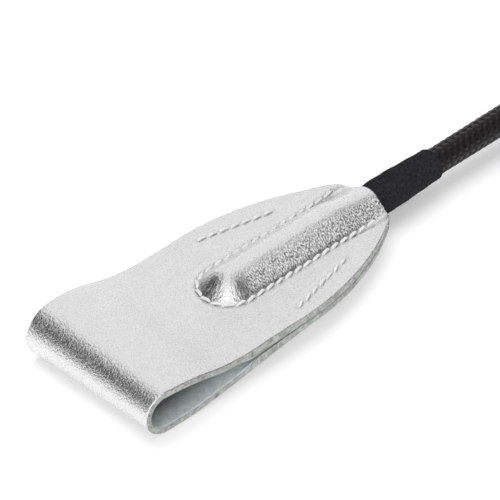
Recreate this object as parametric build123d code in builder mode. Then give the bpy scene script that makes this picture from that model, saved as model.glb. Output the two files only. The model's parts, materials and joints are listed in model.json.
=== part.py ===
from build123d import *
from math import asin, atan2, cos, degrees, hypot, radians, sin, sqrt
import os

# A riding crop: a braided shaft with a folded leather tongue at one end, and a leather grip,
# a metal butt cap and a wrist loop with a sliding keeper at the other.
# Millimetres. The crop lies on the ground, on its tongue's fold, its cap's rim and the far
# end of its wrist loop. The tongue points to -X and up is +Z. The origin is on the ground,
# under the middle of the whole crop.
# A station is a distance along the shaft's middle line, from the front of the tongue's fold.

# ---- Whole crop ----
crop_length = 600.0  # front of the fold to the end of the butt cap
snug = 0.05  # gap between pieces that are glued or pressed together

# ---- Shaft: fibreglass rod in a braided sleeve ----
shaft_tip = 44.0  # station of the shaft's end inside the tongue
shaft_tip_radius = 3.1
shaft_butt_radius = 4.9  # at the end inside the grip
braid = 0.9  # thickness of the braided sleeve

# ---- Tongue ----
tongue_length = 99.7
tongue_width = 44.0
fold_width = 42.0  # a little narrower at the fold
leather = 1.9
glue_line = 0.1  # between the two layers
fold_flare = 0.06  # slope of the sides at the fold
full_width = (28.0, 50.0)  # stations between which the tongue is full width
taper_shape = ((0.52, 0.77), (0.80, 0.40))  # shares of the way back, and of the width left
tail_round = 5.7  # length of the rounded tail
top_rise = 4.3  # how far the top layer arches up into the fold
top_bend_start = 36.0
top_steepness = 1.9  # 1 is a straight slope, 2 is two arcs with no straight between them
bottom_rise = 5.2
bottom_bend_start = 60.0
bottom_steepness = 1.3
glued_from = 50.0  # the layers part ahead of this station, outside the seam
flex_station = 33.0  # where the tongue flexes ahead of the stiff shaft
flex_radius = 4.5  # of the knuckle that stands for the flexing leather
flex_gap = 0.3

# ---- Thread ----
thread_width = 0.8
thread_height = 0.45
stitch_length = 2.6
stitch_pitch = 3.2
seam_clearance = 3.0  # from the whipping to the U-shaped seam round it
seam_end = 92.0
seam_margin = 2.5  # leather outside the seam at the tail
pocket_side = 1.15  # leather between the pocket's side and the seam's foot
side_seam_start = (54.0, 18.1)  # station and distance from the middle
side_seam_end = (76.2, 13.1)

# ---- Whipping round the tip ----
whipping_radius = 4.75
whipping_end_radius = 3.95
whipping_tail = 20.7  # length that shows behind the tongue
whipping_round = 1.1  # of its front edge, which stays ahead of the tip's round end

# ---- Grip ----
grip_length = 148.0  # leather cover, up to the cap's inside
grip_radius = 9.6
grip_leather = 1.2
grip_taper = 14.0  # of the wooden core, ahead of the cover
core_front_radius = 6.0
rod_insertion = 130.0
grip_stitch_slant = 50.0  # degrees, along the closing seam underneath
grip_whipping_height = 0.8
grip_whipping_overlap = 4.0  # onto the leather cover
grip_whipping_lead = 8.0  # onto the shaft, ahead of the core

# ---- Butt cap ----
cap_dome = 12.5
cap_band = 2.0  # straight rim, which is the widest place
cap_rim_radius = 13.0
cap_shoulder = 2.5  # cone between sleeve and rim
cap_sleeve = 8.0  # how far the cap covers the grip
cap_wall = 1.4
cap_web = 3.0  # between the grip core and the slot
slot_clearance = 0.25  # each side of the doubled strap
screw_head_radius = 2.0
screw_head_depth = 1.0
screw_radius = 1.1
screw_length = 19.0
screw_drive = (0.6, 0.5)  # width and depth of the slot in the screw's head

# ---- Wrist loop ----
strap_width = 10.0
strap_thickness = 1.8
strap_gap = 0.1  # between the two legs
strap_leg = 45.0  # straight, side by side
strap_flare = 28.0  # degrees that each leg turns outward
strap_flare_radius = 40.0
loop_radius = 30.0  # at the far end
rivet_radius = 1.5
rivet_running_fit = 0.06
rivet_fixed_fit = 0.03
rivet_head_radius = 2.4
rivet_head_height = 1.2
rivet_head_recess = 0.5  # below the dome
rivet_head_round = 0.8
strap_end_gap = 0.5  # between the strap's round ends and the slot's floor

# ---- Keeper on the wrist loop ----
keeper_length = 8.0
keeper_wall = 1.6
keeper_gap = 0.3
keeper_start = 20.0  # from the rivet
keeper_corner = 1.0
keeper_stitches = 3

# ---- Worked out: the fold seen from the side ----
fold_radius = (top_rise + bottom_rise + leather + glue_line) / 2
fold_station = fold_radius + leather / 2
fold_height = glue_line / 2 + leather / 2 + top_rise - fold_radius
layer_middle = (glue_line + leather) / 2
slab_top = glue_line / 2 + leather

# ---- Worked out: stations of the grip and the cap ----
rim_end = crop_length - cap_dome
rim_start = rim_end - cap_band
cap_face = rim_start + snug
slot_floor = cap_face + cap_web
rivet_station = slot_floor + strap_end_gap + strap_width / 2
grip_front = cap_face - grip_length
core_front = grip_front - grip_taper
rod_end = core_front + rod_insertion
core_radius = grip_radius - grip_leather
sleeve_radius = grip_radius + snug + cap_wall

# ---- Worked out: how the crop lies ----
# The lowest circle of the fold and the front edge of the cap's rim both touch the ground.
run_to_rim = rim_start - fold_station
drop_to_rim = fold_height + cap_rim_radius
fold_reach = fold_radius + leather / 2
tilt = atan2(drop_to_rim, run_to_rim) - asin(fold_reach / hypot(run_to_rim, drop_to_rim))
axis_height = fold_reach - fold_station * sin(tilt) - fold_height * cos(tilt)

# The wrist loop droops from its rivet until its far edge rests on the ground.
loop_centre = (
    strap_leg
    + strap_flare_radius * sin(radians(strap_flare))
    + loop_radius * sin(radians(strap_flare))
)
leg_middle = (strap_gap + strap_thickness) / 2
flare_offset = strap_flare_radius * (1 - cos(radians(strap_flare)))
flare_straight = (
    loop_radius * cos(radians(strap_flare)) - leg_middle - flare_offset
) / sin(radians(strap_flare))
loop_centre += flare_straight * cos(radians(strap_flare))
loop_reach = loop_centre + loop_radius + strap_thickness / 2
rivet_height = axis_height + rivet_station * sin(tilt)
droop = asin(rivet_height / hypot(loop_reach, strap_width / 2)) - atan2(strap_width / 2, loop_reach)

rivet_run = rivet_station * cos(tilt)
whole_run = rivet_run + loop_reach * cos(droop) + strap_width / 2 * sin(droop)
fold_x = -whole_run / 2

# ---- Planes and axes ----
# Plan sketches go on `lying`, with X along the shaft. Side sketches go on `side`.
lying = Plane(
    origin=(fold_x, 0, axis_height),
    x_dir=(cos(tilt), 0, sin(tilt)),
    z_dir=(-sin(tilt), 0, cos(tilt)),
)
side = Plane(origin=lying.origin, x_dir=lying.x_dir, z_dir=(0, -1, 0))
shaft_axis = Axis(lying.origin, lying.x_dir)
rivet_point = lying.origin + lying.x_dir * rivet_station
strap_plan = Plane(
    origin=rivet_point,
    x_dir=(cos(droop), 0, -sin(droop)),
    z_dir=(sin(droop), 0, cos(droop)),
)
strap_side = Plane(origin=rivet_point, x_dir=strap_plan.x_dir, z_dir=(0, -1, 0))


def across(station):
    """The plane square to the shaft at a station, with X along the crop's Y."""
    origin = lying.origin + lying.x_dir * station
    return Plane(origin=origin, x_dir=(0, 1, 0), z_dir=lying.x_dir)


def braid_radius(station):
    """The sleeve's outer radius: the shaft is an even taper."""
    share = (station - shaft_tip) / (rod_end - shaft_tip)
    return shaft_tip_radius + (shaft_butt_radius - shaft_tip_radius) * share


def rod_radius(station):
    return braid_radius(station) - braid


def s_bend(rise, run, steepness):
    """Angle, radius and straight length of an S between two level lines."""
    angle = steepness * atan2(rise, run)
    both_radii = (run * sin(angle) - rise * cos(angle)) / (1 - cos(angle))
    straight = (run - both_radii * sin(angle)) / cos(angle)
    return degrees(angle), both_radii / 2, straight


def fold_outline(shift):
    """Close the folded strip's side outline, drawn outside the leather's middle by shift."""
    level = layer_middle + shift
    behind = tongue_length + tail_round
    up, up_radius, up_straight = s_bend(top_rise, top_bend_start - fold_station, top_steepness)
    down, down_radius, down_straight = s_bend(
        bottom_rise, bottom_bend_start - fold_station, bottom_steepness
    )
    top = Line((behind, level), (top_bend_start, level))
    lift = JernArc(top @ 1, top % 1, up_radius - shift, -up)
    slope = Line(lift @ 1, lift @ 1 + (lift % 1) * up_straight)
    crest = JernArc(slope @ 1, slope % 1, up_radius + shift, up)
    front = JernArc(crest @ 1, crest % 1, fold_radius + shift, 180)
    trough = JernArc(front @ 1, front % 1, down_radius + shift, down)
    incline = Line(trough @ 1, trough @ 1 + (trough % 1) * down_straight)
    settle = JernArc(incline @ 1, incline % 1, down_radius - shift, -down)
    bottom = Line(settle @ 1, (behind, -level))
    Line(bottom @ 1, top @ 0)


def stitch_row(start, end):
    """Places for stitches along a straight line."""
    run_x = end[0] - start[0]
    run_y = end[1] - start[1]
    count = max(1, round(hypot(run_x, run_y) / stitch_pitch))
    turn = degrees(atan2(run_y, run_x))
    shares = [(number + 0.5) / count for number in range(count)]
    return [Location((start[0] + run_x * s, start[1] + run_y * s, 0), (0, 0, turn)) for s in shares]


def stitch_arc(centre, radius, start_angle, sweep_angle):
    """Places for stitches round an arc."""
    count = max(1, round(radians(sweep_angle) * radius / stitch_pitch))
    angles = [start_angle + sweep_angle * (number + 0.5) / count for number in range(count)]
    return [
        Location((centre + radius * cos(radians(a)), radius * sin(radians(a)), 0), (0, 0, a + 90))
        for a in angles
    ]


# ---- Shaft ----
tip_centre = shaft_tip + sqrt((whipping_radius + snug) ** 2 - shaft_tip_radius**2)
rod_tip = shaft_tip + braid

with BuildPart() as core_rod:
    with BuildSketch(side):
        with BuildLine():
            Polyline(
                (rod_tip, 0),
                (rod_tip, rod_radius(rod_tip)),
                (rod_end, rod_radius(rod_end)),
                (rod_end, 0),
                close=True,
            )
        make_face()
    revolve(axis=shaft_axis)

with BuildPart() as braid_sleeve:
    with BuildSketch(side):
        with BuildLine():
            Polyline(
                (shaft_tip, 0),
                (shaft_tip, braid_radius(shaft_tip)),
                (rod_end, braid_radius(rod_end)),
                (rod_end, rod_radius(rod_end) + snug),
                (rod_tip - snug, rod_radius(rod_tip) + snug),
                (rod_tip - snug, 0),
                close=True,
            )
        make_face()
    revolve(axis=shaft_axis)

whipping_front = tip_centre - whipping_round - snug
whipping_back = tongue_length + whipping_tail
with BuildPart() as tip_whipping:
    with BuildSketch(side):
        with BuildLine():
            Polyline(
                (whipping_front, braid_radius(whipping_front) + snug),
                (whipping_front, whipping_radius),
                (tongue_length, whipping_radius),
                (whipping_back, whipping_end_radius),
                (whipping_back, braid_radius(whipping_back) + snug),
                close=True,
            )
        front_corner = make_face().vertices().group_by(Axis.X)[0].sort_by(Axis.Y)[-1]
        fillet(front_corner, whipping_round)
    revolve(axis=shaft_axis)

# ---- Tongue ----
# The whole strip of leather comes first. The rigid root and the flexing flap are cut from it.
seam_half_width = whipping_radius + seam_clearance
foot_half_width = seam_half_width - thread_width / 2 - snug
pocket_half_width = foot_half_width - pocket_side
seamed_half_width = seam_half_width + thread_width
tail_half_width = seam_half_width + seam_margin
tail_start = tongue_length - tail_round
tail_turn = 2 * atan2(tail_half_width, tail_round) - radians(90)
taper_run = tail_start - full_width[1]
taper_drop = tongue_width / 2 - tail_half_width
taper_points = [
    (full_width[1] + taper_run * along, tail_half_width + taper_drop * left)
    for along, left in taper_shape
]
tall = 4 * cap_rim_radius  # taller and wider than anything on the crop
wide = 2 * tongue_width

with BuildSketch(lying) as tongue_outline:
    with BuildLine():
        front_edge = Line((-leather, 0), (-leather, fold_width / 2))
        corner = (full_width[0], tongue_width / 2)
        swell = Spline(front_edge @ 1, corner, tangents=[(1, fold_flare), (1, 0)])
        straight_edge = Line(corner, (full_width[1], tongue_width / 2))
        taper = Spline(
            straight_edge @ 1,
            *taper_points,
            (tail_start, tail_half_width),
            tangents=[(1, 0), (cos(tail_turn), -sin(tail_turn))],
        )
        TangentArc(taper @ 1, (tongue_length, 0), tangent=taper % 1)
        mirror(about=Plane.XZ)
    make_face()

with BuildSketch(side) as folded_outline:
    with BuildLine():
        fold_outline(leather / 2)
    make_face()

with BuildSketch(side) as gap_outline:
    with BuildLine():
        fold_outline(-leather / 2)
    make_face()
    with Locations((glued_from, 0)):
        Rectangle(wide, wide, align=(Align.MIN, Align.CENTER), mode=Mode.SUBTRACT)

# The bulge over the shaft: a hull of the whipping and the seam's foot, with a round front.
with BuildSketch(across(tip_centre)) as bulge_section:
    Circle(whipping_radius + snug + leather)
    Rectangle(2 * foot_half_width, 2 * slab_top)
    make_hull()

with BuildSketch(across(tip_centre)) as pocket_section:
    Circle(whipping_radius + snug)
    Rectangle(2 * pocket_half_width, glue_line)
    make_hull()

bulge_run = tongue_length - tip_centre + tail_round
tip_upright = Axis(across(tip_centre).origin, lying.z_dir)

with BuildPart() as bulge:
    extrude(bulge_section.sketch, amount=bulge_run)
    with BuildSketch(across(tip_centre)):
        add(bulge_section.sketch_local)
        with Locations((-wide / 2, 0)):
            Rectangle(wide, wide, mode=Mode.SUBTRACT)
    revolve(axis=tip_upright)

with BuildPart() as pocket:
    extrude(pocket_section.sketch, amount=bulge_run)
    with BuildSketch(across(tip_centre)):
        add(pocket_section.sketch_local)
        with Locations((-wide / 2, 0)):
            Rectangle(wide, wide, mode=Mode.SUBTRACT)
    revolve(axis=tip_upright)

with BuildPart() as gap:
    extrude(gap_outline.sketch, amount=wide, both=True)
    with BuildSketch(lying):
        with Locations((tip_centre, 0)):
            Circle(seamed_half_width)
            Rectangle(wide, 2 * seamed_half_width, align=(Align.MIN, Align.CENTER))
    extrude(amount=tall, both=True, mode=Mode.SUBTRACT)

with BuildPart() as tongue_leather:
    extrude(folded_outline.sketch, amount=wide, both=True)
    add(bulge.part)
    extrude(tongue_outline.sketch, amount=tall, both=True, mode=Mode.INTERSECT)
    add(gap.part, mode=Mode.SUBTRACT)
    add(pocket.part, mode=Mode.SUBTRACT)

# The knuckle: a disc round the flex line. The flap keeps the disc and what is ahead of it.
flex_share = (bottom_bend_start - flex_station) / (bottom_bend_start - fold_station)
flex_height = -bottom_rise * flex_share / 2


def knuckle(radius):
    """Everything ahead of the flex line, and a disc round it."""
    with Locations((flex_station, flex_height)):
        Circle(radius)
        Rectangle(wide, wide, align=(Align.MAX, Align.CENTER))


with BuildPart() as tongue_root:
    add(tongue_leather.part)
    with BuildSketch(side):
        knuckle(flex_radius + flex_gap)
    extrude(amount=wide, both=True, mode=Mode.SUBTRACT)

with BuildPart() as tongue_flap:
    add(tongue_leather.part)
    with BuildSketch(side):
        knuckle(flex_radius)
    extrude(amount=wide, both=True, mode=Mode.INTERSECT)

# ---- Tongue's stitches: each lies on the leather, the needle's above and the bobbin's below ----
with BuildSketch(side) as skin_outline:
    with BuildLine():
        fold_outline(leather / 2 + thread_height)
    make_face()
    add(folded_outline.sketch_local, mode=Mode.SUBTRACT)

with BuildPart() as skin:
    extrude(skin_outline.sketch, amount=wide, both=True)

u_places = [
    *stitch_row((seam_end, seam_half_width), (tip_centre, seam_half_width)),
    *stitch_arc(tip_centre, seam_half_width, 90, 180),
    *stitch_row((tip_centre, -seam_half_width), (seam_end, -seam_half_width)),
]
right_places = stitch_row(side_seam_start, side_seam_end)
left_places = stitch_row(
    (side_seam_start[0], -side_seam_start[1]), (side_seam_end[0], -side_seam_end[1])
)


def stitches(places, direction):
    """Stitches at these places on the leather, above (1) or below (-1)."""
    with BuildPart() as thread:
        with BuildSketch(lying):
            with Locations(*places):
                SlotOverall(stitch_length, thread_width)
        extrude(amount=direction * tall)
        add(skin.part, mode=Mode.INTERSECT)
    return thread


tongue_seam_needle_thread = stitches(u_places, 1)
tongue_seam_bobbin_thread = stitches(u_places, -1)
left_seam_needle_thread = stitches(left_places, 1)
left_seam_bobbin_thread = stitches(left_places, -1)
right_seam_needle_thread = stitches(right_places, 1)
right_seam_bobbin_thread = stitches(right_places, -1)

# ---- Grip ----
core_end = cap_face - snug
with BuildPart() as grip_core:
    with BuildSketch(side):
        with BuildLine():
            Polyline(
                (core_front, braid_radius(core_front) + snug),
                (core_front, core_front_radius),
                (grip_front, core_radius),
                (core_end, core_radius),
                (core_end, 0),
                (rod_end + snug, 0),
                (rod_end + snug, braid_radius(rod_end) + snug),
                close=True,
            )
        make_face()
    revolve(axis=shaft_axis)
    with BuildSketch(across(slot_floor - screw_length)):
        Circle(screw_radius + snug)
    extrude(amount=screw_length, mode=Mode.SUBTRACT)

with BuildPart() as grip_cover:
    with BuildSketch(side):
        with Locations((grip_front, core_radius + snug)):
            Rectangle(core_end - grip_front, grip_leather - snug, align=(Align.MIN, Align.MIN))
    revolve(axis=shaft_axis)

whipped_radius = grip_radius + grip_whipping_height
lead_start = core_front - grip_whipping_lead
with BuildPart() as grip_whipping:
    with BuildSketch(side):
        with BuildLine():
            Polyline(
                (lead_start, braid_radius(lead_start) + snug),
                (lead_start, braid_radius(lead_start) + grip_whipping_height),
                (core_front, core_front_radius + grip_whipping_height),
                (grip_front, whipped_radius),
                (grip_front + grip_whipping_overlap, whipped_radius),
                (grip_front + grip_whipping_overlap, grip_radius + snug),
                (grip_front - snug, grip_radius + snug),
                (grip_front - snug, core_radius + snug),
                (core_front - snug, core_front_radius + snug),
                (core_front - snug, braid_radius(core_front) + snug),
                close=True,
            )
        make_face()
    revolve(axis=shaft_axis)

# A row of slanted stitches closes the grip's cover underneath.
grip_seam_start = grip_front + grip_whipping_overlap + stitch_length
grip_seam_end = cap_face - cap_sleeve - stitch_length
with BuildPart() as grip_seam_thread:
    with BuildSketch(lying):
        with Locations(*stitch_row((grip_seam_start, 0), (grip_seam_end, 0))):
            SlotOverall(stitch_length, thread_width, rotation=grip_stitch_slant)
    extrude(amount=-tall)
    with BuildSketch(side):
        with Locations((grip_front, grip_radius)):
            Rectangle(grip_length, thread_height, align=(Align.MIN, Align.MIN))
    revolve(axis=shaft_axis, mode=Mode.INTERSECT)

# ---- Butt cap ----
slot_half_width = strap_gap / 2 + strap_thickness + slot_clearance
rivet_share = (rivet_station - rim_end) / cap_dome
rivet_dome_radius = cap_rim_radius * sqrt(1 - rivet_share**2)
rivet_seat = rivet_dome_radius - rivet_head_height - rivet_head_recess
screw_seat_radius = screw_head_radius + snug

with BuildPart() as butt_cap:
    with BuildSketch(side):
        with BuildLine():
            outside = Polyline(
                (cap_face, 0),
                (cap_face, grip_radius + snug),
                (cap_face - cap_sleeve, grip_radius + snug),
                (cap_face - cap_sleeve, sleeve_radius),
                (rim_start - cap_shoulder, sleeve_radius),
                (rim_start, cap_rim_radius),
                (rim_end, cap_rim_radius),
            )
            dome = EllipticalCenterArc((rim_end, 0), cap_dome, cap_rim_radius, arc_size=90)
            Line((crop_length, 0), outside @ 0)
        make_face()
    revolve(axis=shaft_axis)
    with BuildSketch(across(slot_floor)):
        Rectangle(2 * slot_half_width, tall)
    extrude(amount=tall, mode=Mode.SUBTRACT)
    with BuildSketch(strap_side):
        Circle(rivet_radius + rivet_fixed_fit)
    extrude(amount=tall, both=True, mode=Mode.SUBTRACT)
    for facing in (-1, 1):
        with BuildSketch(Plane(rivet_point + (0, facing * rivet_seat, 0), z_dir=(0, facing, 0))):
            Circle(rivet_head_radius + rivet_fixed_fit)
        extrude(amount=tall, mode=Mode.SUBTRACT)
    with BuildSketch(side):
        with BuildLine():
            Polyline(
                (cap_face - cap_web, 0),
                (cap_face - cap_web, screw_radius + snug),
                (slot_floor - screw_head_depth, screw_radius + snug),
                (slot_floor, screw_seat_radius),
                (slot_floor, 0),
                close=True,
            )
        make_face()
    revolve(axis=shaft_axis, mode=Mode.SUBTRACT)

with BuildPart() as cap_screw:
    with BuildSketch(side):
        with BuildLine():
            Polyline(
                (slot_floor, 0),
                (slot_floor, screw_head_radius),
                (slot_floor - screw_head_depth, screw_radius),
                (slot_floor - screw_length + 2 * screw_radius, screw_radius),
                (slot_floor - screw_length, 0),
                close=True,
            )
        make_face()
    revolve(axis=shaft_axis)
    with BuildSketch(across(slot_floor)):
        Rectangle(screw_drive[0], 2 * screw_head_radius)
    extrude(amount=-screw_drive[1], mode=Mode.SUBTRACT)

with BuildPart() as strap_rivet:
    with BuildSketch(strap_side):
        Circle(rivet_radius)
    extrude(amount=rivet_seat, both=True)
    for facing in (-1, 1):
        seat_plane = Plane(rivet_point + (0, facing * rivet_seat, 0), z_dir=(0, facing, 0))
        with BuildSketch(seat_plane):
            Circle(rivet_head_radius)
        extrude(amount=rivet_head_height)
    head_rims = strap_rivet.edges().filter_by(GeomType.CIRCLE).sort_by(Axis.Y)
    fillet((head_rims[0], head_rims[-1]), rivet_head_round)

# ---- Wrist loop ----


def strap_edge(shift):
    """One edge of the upper half of the strap, drawn outside its middle by shift."""
    leg = Line((-strap_width, leg_middle + shift), (strap_leg, leg_middle + shift))
    flare = JernArc(leg @ 1, leg % 1, strap_flare_radius - shift, strap_flare)
    straight = Line(flare @ 1, flare @ 1 + (flare % 1) * flare_straight)
    JernArc(straight @ 1, straight % 1, loop_radius + shift, -90 - strap_flare)
    return leg @ 0


with BuildPart() as wrist_strap:
    with BuildSketch(strap_plan):
        with BuildLine():
            outer_start = strap_edge(strap_thickness / 2)
            inner_start = strap_edge(-strap_thickness / 2)
            Line(outer_start, inner_start)
            Line((loop_reach, 0), (loop_reach - strap_thickness, 0))
        make_face()
        mirror(about=Plane.XZ)
    extrude(amount=strap_width / 2, both=True)
    with BuildSketch(strap_side):
        with BuildLine():
            Polyline(
                (0, strap_width / 2),
                (loop_reach + strap_width, strap_width / 2),
                (loop_reach + strap_width, -strap_width / 2),
                (0, -strap_width / 2),
            )
            CenterArc((0, 0), strap_width / 2, 90, 180)
        make_face()
        Circle(rivet_radius + rivet_running_fit, mode=Mode.SUBTRACT)
    extrude(amount=tall, both=True, mode=Mode.INTERSECT)

# ---- Keeper ----
keeper_inside = (2 * leg_middle + strap_thickness + 2 * keeper_gap, strap_width + 2 * keeper_gap)
keeper_outside = (keeper_inside[0] + 2 * keeper_wall, keeper_inside[1] + 2 * keeper_wall)
keeper_plane = Plane(
    origin=rivet_point + strap_plan.x_dir * keeper_start,
    x_dir=(0, 1, 0),
    z_dir=strap_plan.x_dir,
)
keeper_face = Plane(
    origin=rivet_point
    + strap_plan.x_dir * (keeper_start + keeper_length / 2)
    - (0, keeper_outside[0] / 2, 0),
    x_dir=strap_plan.z_dir,
    z_dir=(0, -1, 0),
)
with BuildPart() as strap_keeper:
    with BuildSketch(keeper_plane):
        RectangleRounded(*keeper_outside, keeper_corner)
        Rectangle(*keeper_inside, mode=Mode.SUBTRACT)
    extrude(amount=keeper_length)

stitched_run = keeper_stitches * stitch_pitch / 2
with BuildPart() as keeper_thread:
    with BuildSketch(keeper_face):
        with Locations(*stitch_row((-stitched_run, 0), (stitched_run, 0))):
            SlotOverall(stitch_length, thread_width)
    extrude(amount=thread_height)

# ---- Export ----
pieces = {
    "core_rod": core_rod,
    "braid_sleeve": braid_sleeve,
    "tip_whipping": tip_whipping,
    "tongue_root": tongue_root,
    "tongue_flap": tongue_flap,
    "tongue_seam_needle_thread": tongue_seam_needle_thread,
    "tongue_seam_bobbin_thread": tongue_seam_bobbin_thread,
    "left_seam_needle_thread": left_seam_needle_thread,
    "left_seam_bobbin_thread": left_seam_bobbin_thread,
    "right_seam_needle_thread": right_seam_needle_thread,
    "right_seam_bobbin_thread": right_seam_bobbin_thread,
    "grip_core": grip_core,
    "grip_cover": grip_cover,
    "grip_seam_thread": grip_seam_thread,
    "grip_whipping": grip_whipping,
    "butt_cap": butt_cap,
    "cap_screw": cap_screw,
    "strap_rivet": strap_rivet,
    "wrist_strap": wrist_strap,
    "strap_keeper": strap_keeper,
    "keeper_thread": keeper_thread,
}
os.makedirs("parts", exist_ok=True)
for name, piece in pieces.items():
    piece.part.label = name
    export_step(piece.part, f"parts/{name}.step")
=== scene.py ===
import json
import math

import bpy
import numpy as np
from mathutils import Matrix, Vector, noise


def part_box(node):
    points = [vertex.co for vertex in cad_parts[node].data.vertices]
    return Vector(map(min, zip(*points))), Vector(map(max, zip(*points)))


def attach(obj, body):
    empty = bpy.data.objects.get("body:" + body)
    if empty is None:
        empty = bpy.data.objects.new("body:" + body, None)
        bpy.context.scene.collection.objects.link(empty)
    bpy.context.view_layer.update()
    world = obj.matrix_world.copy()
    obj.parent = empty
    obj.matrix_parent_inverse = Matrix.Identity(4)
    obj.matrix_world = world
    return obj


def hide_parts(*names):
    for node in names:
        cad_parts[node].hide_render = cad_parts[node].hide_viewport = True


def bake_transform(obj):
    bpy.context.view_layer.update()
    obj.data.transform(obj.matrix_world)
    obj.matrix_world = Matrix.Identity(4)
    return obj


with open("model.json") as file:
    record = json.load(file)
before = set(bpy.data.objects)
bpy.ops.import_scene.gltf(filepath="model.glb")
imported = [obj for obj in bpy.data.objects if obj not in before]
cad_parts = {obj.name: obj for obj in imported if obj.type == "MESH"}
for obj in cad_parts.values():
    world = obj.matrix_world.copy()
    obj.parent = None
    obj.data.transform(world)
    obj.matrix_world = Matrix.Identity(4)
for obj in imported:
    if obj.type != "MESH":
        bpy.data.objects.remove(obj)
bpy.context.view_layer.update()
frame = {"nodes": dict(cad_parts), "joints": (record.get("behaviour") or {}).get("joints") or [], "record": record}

# A riding crop. Sizes are in millimetres until they reach a mesh. A station is a distance
# along the shaft's middle line from the front of the tongue's fold, and `place` turns a
# station, a distance across and a height into the frame's metres.

MM = 0.001

# ---- The frame: where the shaft, the rivet and the strap run ----
mounts = {mount["name"]: mount for mount in frame["record"]["mounts"]}
joints = {joint["name"]: joint for joint in frame["joints"]}


def unit(vector):
    vector = np.asarray(vector, float)
    return vector / np.linalg.norm(vector, axis=-1, keepdims=True)


across = np.array((0.0, 1.0, 0.0))
along = unit(mounts["grip"]["axis"])
upward = np.cross(along, across)
grip_middle = np.array(mounts["grip"]["pos_m"])
fold_front = grip_middle + along * (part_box("tongue_flap")[0].x - grip_middle[0]) / along[0]
rivet = np.array(joints["loop_swing"]["pos_m"])
strap_along = unit(joints["keeper_slide"]["axis"])
strap_upward = np.cross(strap_along, across)


def joined(*values):
    """Coordinates side by side, as the last axis of one array."""
    return np.stack(np.broadcast_arrays(*values), axis=-1)


def summed(steps):
    """The running total of steps, from nought."""
    return np.concatenate(((0,), np.cumsum(steps)))


def distances(points):
    """The distance run at each point of a line."""
    return summed(np.hypot(*np.diff(points, axis=0).T))


def circle(count):
    return np.linspace(0, 2 * math.pi, count, endpoint=False)


def spread(origin, axes, amounts):
    """Points at amounts, in millimetres, along axes from an origin in metres."""
    total = np.array(origin, float)
    for axis, amount in zip(axes, amounts):
        total = total + np.multiply.outer(np.asarray(amount, float) * MM, axis)
    return total


def place(station, side, height):
    station, side, height = np.broadcast_arrays(station, side, height)
    return spread(fold_front, (along, across, upward), (station, side, height))


def placed(points):
    return place(points[..., 0], points[..., 1], points[..., 2])


def strap_place(run, side, height):
    run, side, height = np.broadcast_arrays(run, side, height)
    return spread(rivet, (strap_along, across, strap_upward), (run, side, height))


def strap_placed(points):
    return strap_place(points[..., 0], points[..., 1], points[..., 2])


def station_of(x):
    return (x - fold_front[0]) / along[0] / MM


def stations(node):
    low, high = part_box(node)
    return station_of(low.x), station_of(high.x)


# ---- Sizes of the tongue, as in the CAD ----
LEATHER = 1.9
REST_GAP = 0.03  # between the lowest leather and the floor
GLUE = 0.1
LEVEL = (LEATHER + GLUE) / 2  # height of each layer's middle where they lie together
TONGUE_WIDTH = 44.0
FOLD_WIDTH = 42.0
TAIL_ROUND = 5.7
TAIL_END = 99.7
TAIL_SIDE = TAIL_END - TAIL_ROUND  # station where the sides meet the rounded tail
TAIL_HALF_WIDTH = 10.25
FULL_WIDTH = (28.0, 50.0)
TAPER_SHAPE = ((0.52, 0.77), (0.80, 0.40))
TOP_RISE = 4.3
TOP_BEND = 36.0
TOP_STEEPNESS = 1.9
BOTTOM_RISE = 5.2
BOTTOM_BEND = 60.0
BOTTOM_STEEPNESS = 1.3
FOLD_RADIUS = (TOP_RISE + BOTTOM_RISE + LEATHER + GLUE) / 2
FOLD_STATION = FOLD_RADIUS + LEATHER / 2

SEAM_HALF_WIDTH = 7.75
SEAM_END = 92.0
SIDE_SEAM = ((54.0, 18.1), (76.2, 13.1))
TIP_RADIUS = 4.8  # of the whipped shaft inside the leather
TIP_CENTRE = 47.66
BULGE_FOOT = 7.3
STITCH_PITCH = 3.2
TAIL_PULL = 0.34  # share of the tail's round that goes into climbing the shaft
TAIL_SINK = 0.15  # share of its height the bulge loses towards the tail

# ---- Sizes of the shaft and its thread ----
BRAID_STRANDS = 12  # each way round
BRAID_PITCH = 27.0
BRAID_SHOWN_FROM = TAIL_END + 19  # under the whipping's end
YARN_STEPS = 6  # points across a yarn
YARN_HEIGHT = 0.26
YARN_SWAY = 0.13  # how far a yarn goes over and under the others
SLEEVE_FRONT_RADIUS = 3.1
WHIPPING_RADIUS = 4.75
WHIPPING_END_RADIUS = 3.95
WHIPPING_THREAD = 0.42

# ---- How finely the leather is divided ----
STRIP_STEP = 0.62  # along the strip
STRIP_COLUMNS = 69  # across it, besides the close ones at the cut edges
CURVE_SAMPLES = 8000  # along the strip, to add its bends up
STITCH_STEPS = 11

rng = np.random.default_rng(7)


# ---- Meshes ----
def mesh_piece(name, points, faces, materials, indices=None, attributes=None):
    """An object from points in metres, smooth, with its materials and point attributes."""
    mesh = bpy.data.meshes.new(name)
    mesh.from_pydata(np.asarray(points).reshape(-1, 3).tolist(), [], faces)
    for material in materials:
        mesh.materials.append(material)
    if indices is not None:
        mesh.polygons.foreach_set("material_index", np.asarray(indices, dtype=np.int32))
    mesh.polygons.foreach_set("use_smooth", np.ones(len(mesh.polygons), dtype=bool))
    for key, values in (attributes or {}).items():
        values = np.asarray(values, np.float32)
        kind, field = ("FLOAT", "value") if values.ndim == 1 else ("FLOAT_VECTOR", "vector")
        layer = mesh.attributes.new(key, kind, "POINT")
        layer.data.foreach_set(field, values.ravel())
    mesh.update()
    piece = bpy.data.objects.new(name, mesh)
    bpy.context.scene.collection.objects.link(piece)
    return piece


def grid_faces(rows, columns, wrap=False):
    """Quads of a grid of points, which may close round its columns."""
    faces = []
    for row in range(rows - 1):
        for column in range(columns if wrap else columns - 1):
            beside = (column + 1) % columns
            low = row * columns
            high = low + columns
            faces.append((low + column, low + beside, high + beside, high + column))
    return faces


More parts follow.
